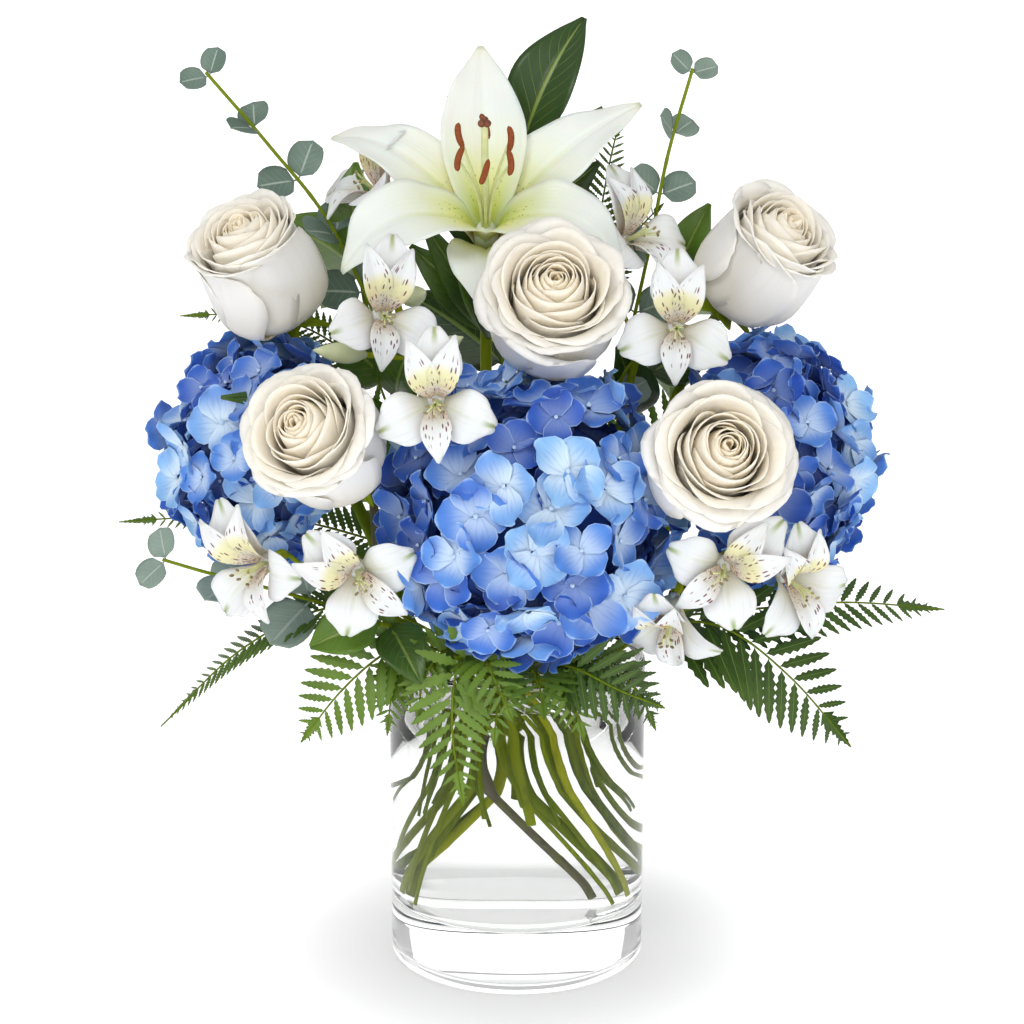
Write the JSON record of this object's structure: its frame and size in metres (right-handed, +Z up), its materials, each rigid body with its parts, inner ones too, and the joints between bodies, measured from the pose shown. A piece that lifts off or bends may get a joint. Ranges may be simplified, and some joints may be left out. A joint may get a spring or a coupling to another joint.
{
  "type": "flower arrangement in a vase",
  "caption": "Bouquet of blue hydrangeas, white roses, a lily and alstroemeria with ferns and eucalyptus, standing in water in a clear glass cylinder vase.",
  "frame": {"origin": "centre of the underside of the vase's base, on the surface it stands on", "axes": "+Z up along the vase's axis; -Y towards the side that faces the viewer in the picture; +X to the viewer's right"},
  "size_m": [0.4112, 0.2434, 0.461],
  "materials": {
    "glass": "clear, polished",
    "water": "clear water",
    "hydrangea_florets": "matte petals",
    "rose_petals": "matte petals",
    "lily_petals": "satin petals",
    "stamens": "matte",
    "alstroemeria_petals": "satin petals",
    "stems": "satin",
    "eucalyptus": "matte, waxy bloom",
    "fern": "satin leaf",
    "broad_leaves": "glossy leaf"
  },
  "bodies": {
    "root": {"alstroemeria_lower_left_bloom_1": "alstroemeria_petals", "alstroemeria_lower_left_bloom_2": "alstroemeria_petals", "alstroemeria_lower_left_stem": "stems", "alstroemeria_lower_right_bloom_1": "alstroemeria_petals", "alstroemeria_lower_right_bloom_2": "alstroemeria_petals", "alstroemeria_lower_right_bloom_3": "alstroemeria_petals", "alstroemeria_lower_right_stem": "stems", "alstroemeria_middle_left_bloom_1": "alstroemeria_petals", "alstroemeria_middle_left_stem": "stems", "alstroemeria_upper_left_bloom_1": "alstroemeria_petals", "alstroemeria_upper_left_bloom_2": "alstroemeria_petals", "alstroemeria_upper_left_stem": "stems", "alstroemeria_upper_right_bloom_1": "alstroemeria_petals", "alstroemeria_upper_right_bloom_2": "alstroemeria_petals", "alstroemeria_upper_right_stem": "stems", "eucalyptus_lower_left": "eucalyptus", "eucalyptus_middle_right": "eucalyptus", "eucalyptus_upper_left": "eucalyptus", "eucalyptus_upper_right": "eucalyptus", "fern_back_centre": "fern", "fern_back_left": "fern", "fern_back_low_left": "fern", "fern_back_low_right": "fern", "fern_back_right": "fern", "fern_front_centre": "fern", "fern_front_left": "fern", "fern_front_right": "fern", "fern_left_front": "fern", "fern_left_high": "fern", "fern_left_low": "fern", "fern_left_middle": "fern", "fern_right_low": "fern", "fern_right_out": "fern", "fern_upper_right": "fern", "hydrangea_front_head": "hydrangea_florets", "hydrangea_front_stem": "stems", "hydrangea_left_head": "hydrangea_florets", "hydrangea_left_stem": "stems", "hydrangea_right_head": "hydrangea_florets", "hydrangea_right_stem": "stems", "leaves_back": "broad_leaves", "leaves_left": "broad_leaves", "leaves_low_left": "broad_leaves", "leaves_right": "broad_leaves", "leaves_top": "broad_leaves", "lily_stamens": "stamens", "lily_stem": "stems", "lily_tepals": "lily_petals", "rose_centre_bloom": "rose_petals", "rose_centre_stem": "stems", "rose_lower_left_bloom": "rose_petals", "rose_lower_left_stem": "stems", "rose_lower_right_bloom": "rose_petals", "rose_lower_right_stem": "stems", "rose_upper_left_bloom": "rose_petals", "rose_upper_left_stem": "stems", "rose_upper_right_bloom": "rose_petals", "rose_upper_right_stem": "stems", "vase": "glass", "water": "water"}
  },
  "joints": []
}
